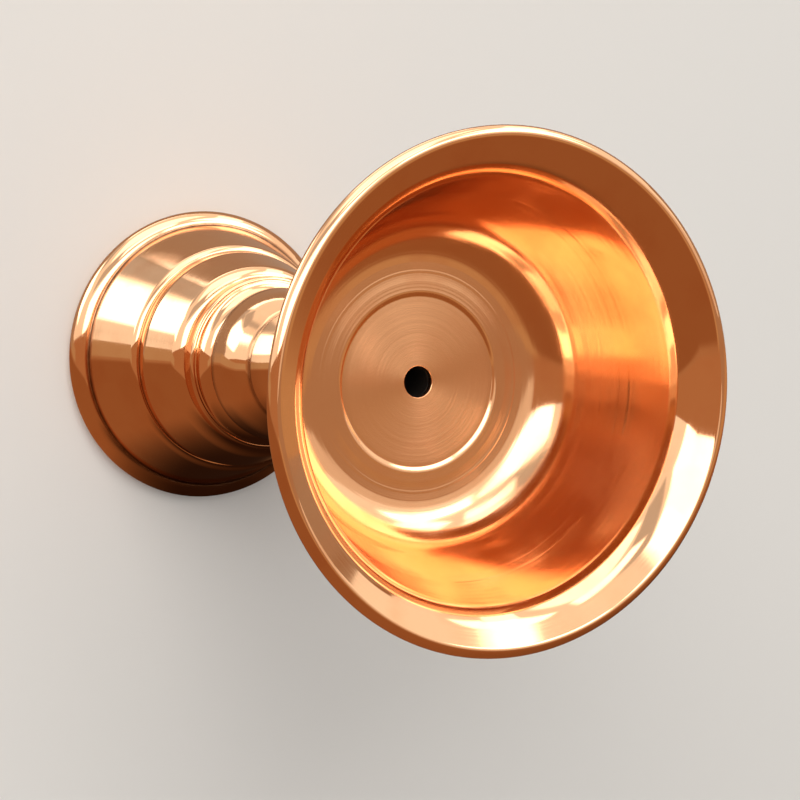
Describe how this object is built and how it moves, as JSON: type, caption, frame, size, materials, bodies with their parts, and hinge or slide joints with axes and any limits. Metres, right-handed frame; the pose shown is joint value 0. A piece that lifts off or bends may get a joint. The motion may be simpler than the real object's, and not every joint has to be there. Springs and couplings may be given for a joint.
{
  "type": "butter lamp",
  "caption": "Free-standing butter lamp of polished copper: a flared bowl with a wick hole, screwed onto a waisted stem and a conical foot with curled edges",
  "frame": {"origin": "middle of the foot, on the surface that the lamp stands on", "axes": "+Z is the lamp's axis and points up out of the bowl; X and Y are any two level directions"},
  "size_m": [0.07, 0.07, 0.101],
  "materials": {
    "polished_copper": "spun, polished to a mirror, with faint turning marks",
    "turned_brass": "turned",
    "plated_steel": "zinc plated",
    "washer_leather": "cut leather, pressed"
  },
  "bodies": {
    "stand": {"foot": "polished_copper", "foot_drum": "polished_copper", "stem_ring": "polished_copper", "knop": "polished_copper", "neck": "polished_copper", "neck_collar": "polished_copper", "tie_rod": "plated_steel", "foot_washer": "plated_steel", "lock_washer": "plated_steel", "foot_nut": "plated_steel"},
    "seat": {"seat_washer": "washer_leather"},
    "bowl": {"bowl": "polished_copper", "wick_stud": "turned_brass"}
  },
  "joints": [
    {"name": "bowl_turn", "type": "hinge", "parent": "stand", "child": "seat", "pos_m": [0, 0, 0.0717], "axis": [0, 0, 1], "range_deg": [0, 1800]},
    {"name": "bowl_lift", "type": "slide", "parent": "seat", "child": "bowl", "axis": [0, 0, 1], "range_m": [0, 0.0075]}
  ],
  "couplings": [
    {"joint": "bowl_lift", "follows": "bowl_turn", "m_per_rad": 0.00023873}
  ]
}
